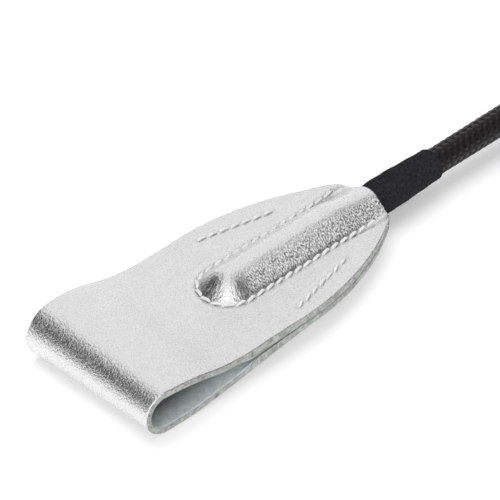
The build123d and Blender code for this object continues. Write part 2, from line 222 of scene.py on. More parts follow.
def tube_faces(rows, columns):
    """Quads of a tube, with one flat face over each end."""
    first = tuple(range(columns))[::-1]
    last = tuple((rows - 1) * columns + column for column in range(columns))
    return grid_faces(rows, columns, wrap=True) + [first, last]


def tube_piece(name, rings, materials, attributes=None):
    """A closed tube through rings of points, with a flat cap at each end."""
    faces = tube_faces(*rings.shape[:2])
    piece = mesh_piece(name, rings, faces, materials, attributes=attributes)
    for cap in list(piece.data.polygons)[-2:]:
        cap.use_smooth = False
    return piece


def turned(stations_mm, radii, around):
    """Rings of points about the shaft's middle line."""
    angles = circle(around)
    radii = np.asarray(radii, float)
    if radii.ndim == 1:
        radii = np.repeat(radii[:, None], around, axis=1)
    side = radii * np.cos(angles)
    height = radii * np.sin(angles)
    return place(np.asarray(stations_mm, float)[:, None], side, height)


# ---- Materials ----
def new_material(name):
    material = bpy.data.materials.new(name)
    material.use_nodes = True
    tree = material.node_tree
    return material, tree, tree.nodes["Principled BSDF"]


def connect(tree, node, inputs):
    """Link each input that is given a socket, and set each that is given a value."""
    for key, value in inputs.items():
        socket = node.inputs[key]
        if isinstance(value, bpy.types.NodeSocket):
            tree.links.new(value, socket)
        else:
            socket.default_value = value


def add_node(tree, kind, inputs=None, **settings):
    node = tree.nodes.new(kind)
    for key, value in settings.items():
        setattr(node, key, value)
    connect(tree, node, inputs or {})
    return node


def rgb(red, green, blue):
    return (red, green, blue, 1.0)


def grey(value):
    return rgb(value, value, value)


def attribute(tree, key, field="Vector"):
    return add_node(tree, "ShaderNodeAttribute", attribute_name=key).outputs[field]


def maths(tree, operation, first, second=0.0):
    return add_node(tree, "ShaderNodeMath", {0: first, 1: second}, operation=operation).outputs[0]


def mix_numbers(tree, share, first, second):
    return add_node(tree, "ShaderNodeMix", {0: share, 2: first, 3: second}).outputs[0]


def ramp(tree, value, *stops):
    node = add_node(tree, "ShaderNodeValToRGB", {"Fac": value})
    elements = node.color_ramp.elements
    while len(elements) < len(stops):
        elements.new(0.5)
    for element, (position, colour) in zip(elements, stops):
        element.position = position
        element.color = colour
    return node.outputs["Color"]


def scaled(tree, vector, scale):
    return add_node(tree, "ShaderNodeMapping", {"Vector": vector, "Scale": scale}).outputs[0]


def noise_value(tree, vector, scale, detail=2.0, roughness=0.5):
    inputs = {"Vector": vector, "Scale": scale, "Detail": detail, "Roughness": roughness}
    return add_node(tree, "ShaderNodeTexNoise", inputs).outputs["Fac"]


def bump(tree, height, distance, strength=1.0, normal=None):
    inputs = {"Height": height, "Distance": distance, "Strength": strength}
    if normal is not None:
        inputs["Normal"] = normal
    return add_node(tree, "ShaderNodeBump", inputs).outputs["Normal"]


def silver_leather(name, key="hide"):
    """Foil on a fine pebbled hide. Where `stretch` is 1 the grain is drawn out crosswise."""
    material, tree, shader = new_material(name)
    hide = attribute(tree, key)
    stretch = attribute(tree, "stretch", "Fac")
    pebbles = add_node(
        tree,
        "ShaderNodeTexVoronoi",
        {"Vector": hide, "Scale": 2.3, "Randomness": 0.95},
        feature="SMOOTH_F1",
    ).outputs["Distance"]
    fine = noise_value(tree, hide, 4.6, 2.5, 0.6)
    soft = noise_value(tree, hide, 0.22, 2.0)
    grain = mix_numbers(tree, 0.45, pebbles, fine)
    drawn = noise_value(tree, scaled(tree, hide, (3.0, 1.9, 1.0)), 1.0, 1.0, 0.5)
    ridged = maths(tree, "ABSOLUTE", maths(tree, "SUBTRACT", drawn, 0.5))
    creases = mix_numbers(tree, 0.15, maths(tree, "MULTIPLY", ridged, 2.2), fine)
    height = mix_numbers(tree, stretch, grain, creases)
    plain = ramp(tree, grain, (0.46, grey(0.98)), (0.60, grey(0.72)))
    glints = ramp(tree, drawn, (0.49, grey(1.0)), (0.57, grey(0.0)))
    look = {
        "Base Color": ramp(tree, soft, (0.25, rgb(0.785, 0.785, 0.79)), (0.75, rgb(0.81, 0.81, 0.815))),
        "Metallic": mix_numbers(tree, stretch, plain, glints),
        "Roughness": ramp(tree, fine, (0.2, grey(0.16)), (0.8, grey(0.24))),
        "Normal": bump(tree, height, 0.00020),
    }
    connect(tree, shader, look)
    return material


def suede(name, light, dark, key="hide"):
    """The flesh side and the raw cut edge: matt and mottled, with painted shade that darkens them where the shade
    attribute is 1.
    """
    material, tree, shader = new_material(name)
    hide = attribute(tree, key)
    mottle = noise_value(tree, hide, 0.55, 4.0, 0.65)
    fibres = noise_value(tree, scaled(tree, hide, (3.0, 1.2, 3.0)), 1.6, 4.0, 0.7)
    blend = mix_numbers(tree, 0.55, mottle, fibres)
    tint = ramp(tree, blend, (0.38, dark), (0.60, light))
    # Painted shade: the tint is darkened to 0.22 of itself where the shade attribute is 1.
    shaded = add_node(tree, "ShaderNodeVectorMath", {0: tint, "Scale": 0.22}, operation="SCALE")
    mixing = {0: attribute(tree, "painted_shade", "Fac"), 6: tint, 7: shaded.outputs[0]}
    look = {
        "Base Color": add_node(tree, "ShaderNodeMix", mixing, data_type="RGBA").outputs[2],
        "Roughness": 0.95,
        "Sheen Weight": 0.25,
        "Normal": bump(tree, fibres, 0.00025, 0.8),
    }
    connect(tree, shader, look)
    return material


def thread(name, light, dark, scale=1.0, sheen=0.3, roughness=0.75):
    """Spun thread: fine fibres along it, with a little sheen."""
    material, tree, shader = new_material(name)
    spun = attribute(tree, "spun")
    fibres = noise_value(tree, scaled(tree, spun, (1.0, 5.0, 5.0)), 2.0 * scale, 4.0, 0.65)
    look = {
        "Base Color": ramp(tree, fibres, (0.3, dark), (0.7, light)),
        "Roughness": roughness,
        "Sheen Weight": sheen,
        "Specular IOR Level": 0.12,
        "Normal": bump(tree, fibres, 0.00012, 0.7),
    }
    connect(tree, shader, look)
    return material


def nylon_braid(name):
    """Black nylon yarns: those of one direction are glossier than those of the other."""
    material, tree, shader = new_material(name)
    spun = attribute(tree, "spun")
    fibres = noise_value(tree, scaled(tree, spun, (0.6, 7.0, 0.0)), 1.4, 2.0)
    family = add_node(tree, "ShaderNodeSeparateXYZ", {0: spun}).outputs["Z"]
    look = {
        "Base Color": ramp(tree, fibres, (0.3, grey(0.003)), (0.75, rgb(0.014, 0.011, 0.010))),
        "Roughness": ramp(tree, family, (0.2, grey(0.30)), (0.8, grey(0.75))),
        "Specular IOR Level": 0.36,
        "Normal": bump(tree, fibres, 0.00006, 0.5),
    }
    connect(tree, shader, look)
    return material


def metal(name, colour, roughness, wear=0.05):
    """Bright metal with faint turning marks and hairline wear."""
    material, tree, shader = new_material(name)
    where = add_node(tree, "ShaderNodeTexCoord").outputs["Object"]
    marks = noise_value(tree, scaled(tree, where, (9000.0, 300.0, 300.0)), 1.0, 2.0)
    patches = noise_value(tree, where, 160.0, 3.0)
    look = {
        "Base Color": colour,
        "Metallic": 1.0,
        "Roughness": ramp(tree, patches, (0.35, grey(roughness)), (0.8, grey(roughness + 3 * wear))),
        "Normal": bump(tree, marks, 0.000004, 0.4),
    }
    connect(tree, shader, look)
    return material


def wood(name):
    material, tree, shader = new_material(name)
    where = add_node(tree, "ShaderNodeTexCoord").outputs["Object"]
    rings = noise_value(tree, scaled(tree, where, (25.0, 700.0, 700.0)), 1.0, 4.0)
    tint = ramp(tree, rings, (0.3, rgb(0.42, 0.27, 0.15)), (0.7, rgb(0.66, 0.48, 0.3)))
    connect(tree, shader, {"Base Color": tint, "Roughness": 0.55})
    return material


def fibreglass(name):
    material, tree, shader = new_material(name)
    where = add_node(tree, "ShaderNodeTexCoord").outputs["Object"]
    strands = noise_value(tree, scaled(tree, where, (15.0, 2500.0, 2500.0)), 1.0, 2.0)
    tint = ramp(tree, strands, (0.3, rgb(0.62, 0.6, 0.48)), (0.7, rgb(0.8, 0.78, 0.68)))
    connect(tree, shader, {"Base Color": tint, "Roughness": 0.3})
    return material


SILVER = silver_leather("silver_leather")
SUEDE = suede("suede", rgb(0.84, 0.90, 0.91), rgb(0.56, 0.61, 0.62))
CUT_EDGE = suede("cut_edge", rgb(0.66, 0.68, 0.645), rgb(0.16, 0.18, 0.165))
WHITE_THREAD = thread("white_thread", rgb(0.97, 0.97, 0.96), rgb(0.78, 0.78, 0.77), sheen=0.1)
BLACK_THREAD = thread(
    "black_thread",
    rgb(0.048, 0.046, 0.054),
    rgb(0.0005, 0.0005, 0.001),
    scale=0.4,
    sheen=0.0,
    roughness=0.95,
)
NYLON = nylon_braid("nylon_braid")
PLATED = metal("plated_metal", rgb(0.83, 0.83, 0.84), 0.08)
STEEL = metal("bright_steel", rgb(0.62, 0.62, 0.63), 0.28)
BEECH = wood("core_wood")
GLASS_FIBRE = fibreglass("fibreglass")


# ---- The tongue: one strip of leather, folded ----
def s_bend(rise, run, steepness):
    """Angle, radius and straight length of an S between two level lines."""
    angle = steepness * math.atan2(rise, run)
    both = (run * math.sin(angle) - rise * math.cos(angle)) / (1 - math.cos(angle))
    straight = (run - both * math.sin(angle)) / math.cos(angle)
    return angle, both / 2, straight


def fold_path(step, edge_steps):
    """Middle line of the leather from the top layer's tail, round the fold, to the bottom's.

    Gives station, height, heading and distance run, with close points at both ends."""
    up, up_radius, up_straight = s_bend(TOP_RISE, TOP_BEND - FOLD_STATION, TOP_STEEPNESS)
    down, down_radius, down_straight = s_bend(
        BOTTOM_RISE, BOTTOM_BEND - FOLD_STATION, BOTTOM_STEEPNESS
    )
    moves = (
        (TAIL_SIDE - TOP_BEND, 0.0),
        (up_radius * up, -up),
        (up_straight, 0.0),
        (up_radius * up, up),
        (FOLD_RADIUS * math.pi, math.pi),
        (down_radius * down, down),
        (down_straight, 0.0),
        (down_radius * down, -down),
        (TAIL_SIDE - BOTTOM_BEND, 0.0),
    )
    whole = sum(length for length, turn in moves)
    inner = np.linspace(edge_steps[-1], whole - edge_steps[-1], round(whole / step))
    runs = np.concatenate((edge_steps[:-1], inner, whole - np.array(edge_steps[:-1])[::-1]))
    fine = np.linspace(0, whole, CURVE_SAMPLES)
    ends = np.cumsum([length for length, turn in moves])
    rates = [turn / length if length else 0.0 for length, turn in moves]
    rate = np.array(rates)[np.searchsorted(ends, fine).clip(0, len(moves) - 1)]
    gap = fine[1] - fine[0]
    heading = math.pi + summed((rate[1:] + rate[:-1]) / 2 * gap)
    between = (heading[1:] + heading[:-1]) / 2
    station = TAIL_SIDE + summed(np.cos(between) * gap)
    height = LEVEL + summed(np.sin(between) * gap)
    return [np.interp(runs, fine, value) for value in (station, height, heading)] + [runs]


def hermite(points, slopes):
    """A smooth curve through points, as a function: cubic, with the slopes given."""
    x, y = (np.array(values, float) for values in zip(*points))

    def curve(at):
        at = np.clip(at, x[0], x[-1])
        span = np.clip(np.searchsorted(x, at) - 1, 0, len(x) - 2)
        wide = x[span + 1] - x[span]
        t = (at - x[span]) / wide
        lead = slopes[span] * wide
        tail = slopes[span + 1] * wide
        return (
            y[span] * (1 + 2 * t) * (1 - t) ** 2
            + lead * t * (1 - t) ** 2
            + y[span + 1] * t**2 * (3 - 2 * t)
            - tail * t**2 * (1 - t)
        )

    return curve


def outline_half_width():
    """Half the tongue's width at a station, up to where its tail is rounded."""
    half = TONGUE_WIDTH / 2
    taper = TAIL_SIDE - FULL_WIDTH[1]
    left = half - TAIL_HALF_WIDTH
    points = [(-1.0, FOLD_WIDTH / 2), (FULL_WIDTH[0], half), (FULL_WIDTH[1], half)]
    points += [(FULL_WIDTH[1] + taper * a, TAIL_HALF_WIDTH + left * b) for a, b in TAPER_SHAPE]
    points.append((TAIL_SIDE, TAIL_HALF_WIDTH))
    turn = 2 * math.atan2(TAIL_HALF_WIDTH, TAIL_ROUND) - math.pi / 2
    slopes = np.gradient([y for x, y in points], [x for x, y in points])
    slopes[:3] = (0.06, 0.0, 0.0)
    slopes[-1] = -math.tan(turn)
    return hermite(points, slopes)


half_width = outline_half_width()
tail_arc_radius = (TAIL_HALF_WIDTH**2 + TAIL_ROUND**2) / (2 * TAIL_ROUND)


def smooth(value, low, high):
    """0 below low, 1 above high, and an even S between."""
    share = np.clip((np.asarray(value, float) - low) / (high - low), 0, 1)
    return share * share * (3 - 2 * share)


def bulge_table():
    """Height of the leather's middle over the shaft, by distance from the shaft's line."""
    reach = np.arange(0, 14, 0.05)
    radius = TIP_RADIUS + LEATHER / 2
    foot_angle = math.atan2(LEVEL, BULGE_FOOT)
    touch = foot_angle + math.acos(radius / math.hypot(BULGE_FOOT, LEVEL))
    side = radius * math.cos(touch)
    top = radius * math.sin(touch)
    arch = np.sqrt(np.maximum(radius**2 - reach**2, 0))
    slope = top + (LEVEL - top) * (reach - side) / (BULGE_FOOT - side)
    raw = np.where(reach < side, arch, np.maximum(slope, LEVEL)) - LEVEL
    both = np.concatenate((raw[:0:-1], raw))
    width = np.arange(-40, 41) * 0.05
    kernel = np.exp(-((width / 0.6) ** 2))
    soft = np.convolve(both, kernel / kernel.sum(), mode="same")[len(raw) - 1 :]
    return reach, soft


BULGE_REACH, BULGE_HEIGHT = bulge_table()


def from_shaft(station, side):
    """Distance from the shaft's line, and round the front of its tip."""
    ahead = np.minimum(station - TIP_CENTRE, 0)
    return np.hypot(ahead, side)


def from_segment(station, side, start, end):
    """Distance from a straight seam, and how far along it."""
    run = np.array(end) - np.array(start)
    length = np.hypot(*run)
    share = ((station - start[0]) * run[0] + (side - start[1]) * run[1]) / length**2
    kept = np.clip(share, 0, 1)
    away = np.hypot(station - start[0] - run[0] * kept, side - start[1] - run[1] * kept)
    return away, kept * length


def seam_grooves(station, side):
    """How far the thread pulls the leather down: a groove with small puckers."""
    reach = from_shaft(station, side)
    fade = 1 - smooth(station, SEAM_END, SEAM_END + 2)
    pucker = 0.5 + 0.5 * np.cos(2 * math.pi * station / STITCH_PITCH)
    groove = (0.26 + 0.08 * pucker) * np.exp(-(((reach - SEAM_HALF_WIDTH) / 0.8) ** 2)) * fade
    lip = 0.10 * np.exp(-(((reach - SEAM_HALF_WIDTH - 1.7) / 0.9) ** 2)) * fade
    away, run = from_segment(station, np.abs(side), *SIDE_SEAM)
    pucker = 0.5 + 0.5 * np.cos(2 * math.pi * run / STITCH_PITCH)
    groove = groove + (0.16 + 0.10 * pucker) * np.exp(-((away / 0.75) ** 2))
    lip = lip + 0.07 * np.exp(-(((away - 1.5) / 0.8) ** 2))
    return lip - groove


def wave(station, side, scale, seed):
    """A slow unevenness between -1 and 1."""
    flat = np.stack(np.broadcast_arrays(station, side), axis=-1).reshape(-1, 2)
    values = [noise.noise(Vector((a / scale, b / scale, seed))) for a, b in flat]
    return np.array(values).reshape(np.shape(station))


def relief(layer, station, side):
    """How far the leather's middle stands out from the plain fold."""
    bulge = np.interp(from_shaft(station, side), BULGE_REACH, BULGE_HEIGHT)
    bulge = bulge * (1 - TAIL_SINK * smooth(station, 82, 96))
    uneven = 0.16 * wave(station, side, 17.0, layer) + 0.05 * wave(station, side, 5.0, 3 + layer)
    upright = 1 if layer == 1 else -1
    lifted = 0.8 * smooth(station, 83, 96) * smooth(side, 3, 8) * upright
    return bulge + seam_grooves(station, side) + uneven + lifted


EDGE_STEPS = (0.0, 0.08, 0.25, 0.6)  # distances in from a cut edge
EDGE_DROPS = (0.22, 0.09, 0.015, 0.0)  # how far the face has rounded off there
WALL_STEPS = (0.86, 0.62, 0.3, 0.0, -0.3, -0.62, -0.86)  # shares of half the thickness
WALL = len(WALL_STEPS)
GLUED = (30, 84)  # stations between which the two layers lie together
RELIEF_START = (20, 38)  # stations between which the relief comes in behind the fold


def pinch(station, side, drop):
    """How far the seam's front pulls the bottom layer up to the top one."""
    outside = np.maximum(from_shaft(station, side) - SEAM_HALF_WIDTH, 0)
    return drop * np.exp(-((outside / 6.5) ** 2))


def strip_sides(width, columns):
    """Distances across the strip, close together at its cut edges."""
    inner = np.linspace(-1, 1, columns)
    flank = np.array(EDGE_STEPS[:-1])
    left = -width + flank[None, :]
    flat = (width - EDGE_STEPS[-1]) * inner[None, :]
    right = width - flank[None, ::-1]
    return np.concatenate((left, flat, right), axis=1)


def tail_bow(station, side, width):
    """How far the strip's rows run on towards the round tail, at each distance across."""
    arc = np.sqrt(tail_arc_radius**2 - np.clip(side, -TAIL_HALF_WIDTH, TAIL_HALF_WIDTH) ** 2)
    arc = (arc - (tail_arc_radius - TAIL_ROUND)) / TAIL_ROUND
    growth = smooth(station, 66, TAIL_SIDE + 3)[:, None]
    bow = TAIL_ROUND * growth / smooth(TAIL_SIDE, 66, TAIL_SIDE + 3)
    bow = bow * (1 - TAIL_PULL * (1 - smooth(np.abs(side), 3.5, 9)))
    shape = 1 - (side / width) ** 2
    tail_share = smooth(station, 80, TAIL_SIDE)[:, None]
    return bow * (tail_share * arc + (1 - tail_share) * shape)


def tongue_grid():
    """The leather's middle and its own coordinates as grids, and which rows are the top's."""
    station, height, heading, run = fold_path(STRIP_STEP, EDGE_STEPS)
    width = half_width(station)[:, None]
    side = strip_sides(width, STRIP_COLUMNS)
    along_strip = station[:, None] + tail_bow(station, side, width)
    top = (run < run[-1] / 2)[:, None]
    rise = np.where(top, relief(1, along_strip, side), relief(2, along_strip, side))
    rise = rise * smooth(along_strip, *RELIEF_START)
    drop = np.maximum(-LEVEL - height, 0)[:, None] * (station[:, None] > FOLD_STATION)
    rise = rise - np.where(top, 0, pinch(along_strip, side, drop))
    crest = np.exp(-(((run - (TAIL_SIDE - 11.0)) / 15.0) ** 2))[:, None]
    rise = rise + crest * (side / (TONGUE_WIDTH / 2) + 0.15)
    rise = rise + 0.10 * wave(run[:, None] + 0 * side, side, 20.0, 9)
    out_station = np.sin(heading)[:, None]
    out_height = -np.cos(heading)[:, None]
    middle = joined(along_strip + rise * out_station, side, height[:, None] + rise * out_height)
    own_run = run[:, None] + (along_strip - station[:, None]) * np.where(top, -1, 1)
    return middle, joined(own_run, side, 0 * side), top


def grid_normals(points):
    """Unit normals of a grid of points."""
    down = np.gradient(points, axis=0)
    over = np.gradient(points, axis=1)
    return unit(np.cross(down, over))


def tongue_surface():
    """The leather's middle with its outward normals, its own coordinates and the top's rows."""
    middle, own, top = tongue_grid()
    rows, columns = middle.shape[:2]
    normals = grid_normals(middle)
    if normals[rows // 4, columns // 2, 2] < 0:
        normals = -normals
    return middle, normals, own, top


def edge_drops(count):
    """How far a face has rounded off at each of the points between two cut edges."""
    drops = np.zeros(count)
    drops[: len(EDGE_DROPS)] = EDGE_DROPS
    drops[-len(EDGE_DROPS) :] = EDGE_DROPS[::-1]
    return drops


def apart(height, limit, top):
    """Heights kept above a limit in the top layer, and below its opposite in the bottom one."""
    return np.where(top, np.maximum(height, limit), np.minimum(height, -limit))


def leather_faces(middle, normals, top):
    """The outer and inner faces, the share pared off the leather, and where it is glued."""
    rows, columns = middle.shape[:2]
    half = LEATHER / 2
    drop = np.maximum(edge_drops(columns)[None, :], edge_drops(rows)[:, None])[..., None]
    over_shaft = 1 - smooth(np.abs(middle[..., 1]), 6.0, 9.5)
    pared = smooth(middle[..., 0], 80.0, 96.0) * (0.25 + 0.50 * over_shaft)
    outer = middle + normals * (half - drop - LEATHER * pared[..., None])
    inner = middle - normals * (half - drop)
    glued = (middle[..., 0] > GLUED[0]) & (middle[..., 0] < GLUED[1])
    limit = 0.03 + 0.12 * (drop[..., 0] > 0.05)
    inner[..., 2] = np.where(glued, apart(inner[..., 2], limit, top), inner[..., 2])
    return outer, inner, pared, glued


def edge_wall(column, sideways, surface, pared, glued, splay):
    """The cut edge at one side of the strip, from its outer face to its inner one."""
    middle, normals, own, top = surface
    half = LEATHER / 2
    walls = []
    for number, share in enumerate(WALL_STEPS):
        roundness = 0.16 * (1 - share**2)
        fibre_rows = np.full(len(own), number * 1.7)
        fibre = 0.05 * wave(own[:, column, 0], fibre_rows, 0.9, 5 + sideways)
        lateral = sideways * (roundness + fibre)
        reach = half * (share - (1 + share) * pared[:, column])
        point = middle[:, column] + normals[:, column] * reach[:, None]
        point[:, 2] += splay[:, column] * (1 - share) / 2
        walls.append(point + across * lateral[:, None])
    walls = np.stack(walls, axis=1)
    limit = np.where(glued[:, column], 0.06, -99.0)[:, None]
    walls[..., 2] = apart(walls[..., 2], limit, top)
    return walls


def end_caps(rows, columns, around):
    """Faces over the strip's two ends, between its outer and inner faces."""
    faces = []
    for row in (0, rows - 1):
        start = row * around
        inside = start + columns + WALL
        caps = []
        for column in range(columns - 1):
            back = inside + columns - 1 - column
            caps.append((start + column, start + column + 1, back - 1, back))
        right_wall = [start + columns + n for n in range(WALL)]
        left_wall = [inside + columns + n for n in range(WALL)]
        caps.append((start + columns - 1, *right_wall, inside))
        caps.append((inside + columns - 1, *left_wall, start))
        faces += caps if row == 0 else [face[::-1] for face in caps]
    return faces


def strip_attributes(rings, own):
    """The leather's own coordinates, where its grain is drawn out, and its painted shade: darker inside the fold,
    away from its open sides.
    """
    rows, columns = own.shape[:2]
    right = np.repeat(own[:, -1:], WALL, axis=1) + wall_coordinates(rows, 1)
    left = np.repeat(own[:, :1], WALL, axis=1) + wall_coordinates(rows, -1)
    hide = np.concatenate((own, right, own[:, ::-1], left), axis=1)
    reach = from_shaft(rings[..., 0], rings[..., 1])
    stretch = (1 - smooth(reach, 6.3, 7.6)) * smooth(reach, 1.2, 3.4)
    stretch = stretch * smooth(rings[..., 0], TIP_CENTRE - 1, TIP_CENTRE + 5)
    # Painted shade: the flesh side is darkened from 1.5 mm to 9 mm in from the strip's sides, where the fold's
    # inside gets less light. The cut edges get none.
    painted_shade = smooth(TONGUE_WIDTH / 2 - np.abs(rings[..., 1]), 1.5, 9.0)
    painted_shade[:, columns : columns + WALL] = 0
    painted_shade[:, 2 * columns + WALL :] = 0
    return {"hide": hide.reshape(-1, 3), "stretch": stretch.ravel(), "painted_shade": painted_shade.ravel()}


def build_tongue():
    surface = tongue_surface()
    middle, normals, own, top = surface
    rows, columns = middle.shape[:2]
    outer, inner, pared, glued = leather_faces(middle, normals, top)
    gap = edge_gap(middle, inner, top)
    from_edge = np.minimum(np.arange(columns), np.arange(columns)[::-1])
    near_edge = np.exp(-((from_edge / 2.2) ** 2))[None, :]
    splay = np.where(top, -1, 1) * gap * near_edge
    inner[..., 2] += splay

    right = edge_wall(columns - 1, 1.0, surface, pared, glued, splay)
    left = edge_wall(0, -1.0, surface, pared, glued, splay)
    rings = np.concatenate((outer, right, inner[:, ::-1], left[:, ::-1]), axis=1)
    around = rings.shape[1]
    caps = end_caps(rows, columns, around)
    kinds = [0] * columns + [1] * WALL + [2] * (columns - 1) + [1] * WALL + [0]
    points = placed(rings)
    points[..., 2] = np.maximum(points[..., 2], REST_GAP * MM)
    return mesh_piece(
        "tongue_leather",
        points,
        grid_faces(rows, around, wrap=True) + caps,
        [SILVER, CUT_EDGE, SUEDE],
        kinds * (rows - 1) + [1] * len(caps),
        strip_attributes(rings, own),
    )


def edge_gap(middle, inner, top):
    """How far each layer's fibres splay at its cut edge, where the two come close."""
    gaps = np.zeros(middle.shape[:2])
    upper = top[:, 0]
    lower = ~upper & (middle[:, 0, 0] > FOLD_STATION)
    for column in range(middle.shape[1]):
        at = inner[:, column, 0]
        height = inner[:, column, 2]
        for part, other in ((upper, lower), (lower, upper)):
            order = np.argsort(at[other])
            there = np.interp(at[part], at[other][order], height[other][order])
            gaps[part, column] = np.abs(height[part] - there)
    open_share = smooth(gaps, 2.6, 3.3)
    kept = 0.5 * np.maximum(gaps - 0.25, 0) * (1 - open_share)
    return kept * (middle[..., 0] > 22)


def wall_coordinates(rows, sideways):
    """The cut edge's own coordinates run on round the edge from the face."""
    steps = np.array([1 - share for share in WALL_STEPS])[:: 1 if sideways > 0 else -1]
    extra = np.zeros((rows, WALL, 3))
    extra[..., 1] = sideways * steps * LEATHER / 2
    extra[..., 2] = 3.0
    return extra


def hairs(name, roots, outward, lengths, thickness, material, coordinate):
    """Loose fibres: thin bent three-sided spikes, each from a root along its own direction."""
    count = len(roots)
    sideways = unit(np.cross(outward, rng.normal(size=(count, 3))))
    third = np.cross(outward, sideways)
    bend = sideways * rng.uniform(-0.5, 0.5, (count, 1))
    reach = lengths[:, None] * MM
    levels = []
    for share, width in ((-0.15, 1.0), (0.5, 0.75)):
        middle = roots + (outward * share + bend * share**2) * reach
        for angle in (0.0, 2.1, 4.2):
            ring = sideways * math.cos(angle) + third * math.sin(angle)
            levels.append(middle + ring * thickness * width * MM)
    levels.append(roots + (outward + bend) * reach)
    points = np.stack(levels, axis=1)
    sides = [(0, 1, 4, 3), (1, 2, 5, 4), (2, 0, 3, 5)]
    shape = sides + [(3, 4, 6), (4, 5, 6), (5, 3, 6), (2, 1, 0)]
    faces = [tuple(7 * number + n for n in face) for number in range(count) for face in shape]
    own = np.repeat(rng.uniform(0, 50, (count, 3)), 7, axis=0)
    return mesh_piece(name, points, faces, [material], attributes={coordinate: own})


FIBRES_END = 82  # station


def edge_fibres():
    """Two fibres to each row of the tongue's cut edges, up to where the tail is pared."""
    middle, normals = tongue_surface()[:2]
    roots, outward = [], []
    for column, sideways in ((0, -1), (-1, 1)):
        for point, normal in zip(middle[:, column], normals[:, column]):
            for _ in range(2):
                level = rng.uniform(-0.85, 0.55) * LEATHER / 2
                lean_along, lean_up = rng.normal(0, 0.5, 2)
                if point[0] > FIBRES_END:
                    continue
                roots.append(point + normal * level)
                outward.append((lean_along, sideways, lean_up))
    roots = np.array(roots)
    outward = unit(np.array(outward))
    points = placed(roots)
    away = outward[:, :1] * along + outward[:, 1:2] * across + outward[:, 2:] * upward
    lengths = rng.uniform(0.25, 0.75, len(roots))
    return hairs("tongue_edge_fibres", points, away, lengths, 0.035, CUT_EDGE, "hide")


tongue = build_tongue()
fibres = edge_fibres()
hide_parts("tongue_root", "tongue_flap")
for piece in (tongue, fibres):
    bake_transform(piece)


# ---- Stitches ----
def capsule(path, normal, radius, plies=2, twist=2.5):
    """One stitch: a spun tube that dips at both ends. Gives its rings and coordinates."""
    tangent = unit(np.gradient(path, axis=0))
    over = unit(np.cross(tangent, normal))
    up = unit(np.cross(over, tangent))
    angles = circle(10)
    share = np.linspace(0, 1, len(path))
    width = np.sqrt(np.clip(1 - (2 * share - 1) ** 6, 0.02, 1))
    lay = 2 * math.pi * twist * share[:, None] / plies
    ply = 1 + 0.13 * np.cos(plies * (angles[None, :] - lay))
    size = radius * width[:, None] * ply
    ring = path[:, None] + over[:, None] * (size * np.cos(angles))[..., None]
    ring = ring + up[:, None] * (size * 0.8 * np.sin(angles))[..., None]
    return ring, joined(share[:, None] * 3.0, np.cos(angles) * 0.4, np.sin(angles) * 0.4)


def stitched(name, stitches, material):
    """A piece made of many stitches, each a closed tube."""
    points, coordinates, faces = [], [], []
    start = 0
    for number, (ring, own) in enumerate(stitches):
        rows, around = ring.shape[:2]
        faces += [tuple(start + n for n in face) for face in tube_faces(rows, around)]
        points.append(ring.reshape(-1, 3))
        coordinates.append(own.reshape(-1, 3) + (number * 7.3, 0, 0))
        start += rows * around
    return mesh_piece(
        name,
        np.concatenate(points),
        faces,
        [material],
        attributes={"spun": np.concatenate(coordinates)},
    )


base_station, base_height, _, base_run = fold_path(STRIP_STEP, EDGE_STEPS)
top_half = base_run < base_run[-1] / 2
bottom_half = ~top_half & (base_station > FOLD_STATION)


def leather_face(layer, station, side):
    """Height of the leather's outer face: layer 1 is the top one and 2 the bottom one."""
    part = top_half if layer == 1 else bottom_half
    order = np.argsort(base_station[part])
    middle = np.interp(station, base_station[part][order], base_height[part][order])
    rise = relief(layer, station, side) * smooth(station, *RELIEF_START)
    if layer == 1:
        return middle + rise + LEATHER / 2
    drop = np.maximum(-LEVEL - middle, 0)
    return middle - (rise - pinch(station, side, drop)) - LEATHER / 2


def leather_stitch(layer, start, end, radius=0.43):
    """A stitch on the tongue between two points of station and distance across."""
    share = np.linspace(0, 1, STITCH_STEPS)
    slant = 0.30 * rng.uniform(0.5, 1.4)
    run = np.array(end) - np.array(start)
    sideways = np.array((-run[1], run[0])) / np.hypot(*run)
    station = start[0] + run[0] * share + sideways[0] * slant * (2 * share - 1)
    side = start[1] + run[1] * share + sideways[1] * slant * (2 * share - 1)
    outward = 1 if layer == 1 else -1
    lift = 0.37 - 0.72 * np.abs(2 * share - 1) ** 5
    height = leather_face(layer, station, side) + outward * lift
    path = np.stack((station, side, height), axis=-1)
    ring, own = capsule(path, np.array((0, 0, outward)), radius * rng.uniform(0.92, 1.08))
    if outward < 0:
        ring = ring[:, ::-1]
    return placed(ring), own


def row_of_stitches(points):
    """Start and end of each stitch along a line of points, with a small gap between."""
    points = np.array(points, float)
    run = distances(points)
    count = round(run[-1] / STITCH_PITCH)
    spans = []
    for number in range(count):
        ends = (np.array((number + 0.04, number + 0.96)) / count) * run[-1]
        start, end = (tuple(np.interp(at, run, points[:, k]) for k in (0, 1)) for at in ends)
        spans.append((start, end))
    return spans


arc_angles = np.linspace(math.pi / 2, 3 * math.pi / 2, 41)
u_line = [(SEAM_END, SEAM_HALF_WIDTH)]
u_line += [
    (TIP_CENTRE + SEAM_HALF_WIDTH * math.cos(a), SEAM_HALF_WIDTH * math.sin(a)) for a in arc_angles
]
u_line.append((SEAM_END, -SEAM_HALF_WIDTH))
seams = {
    "tongue_seam": u_line,
    "left_seam": [(station, -side) for station, side in SIDE_SEAM],
    "right_seam": list(SIDE_SEAM),
}
for seam, line in seams.items():
    for layer, kind in ((1, "needle"), (2, "bobbin")):
        node = f"{seam}_{kind}_thread"
        spans = row_of_stitches(line)
        stitches = [leather_stitch(layer, *span) for span in spans]
        piece = stitched(f"{node}_stitches", stitches, WHITE_THREAD)
        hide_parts(node)
        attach(piece, "shaft")


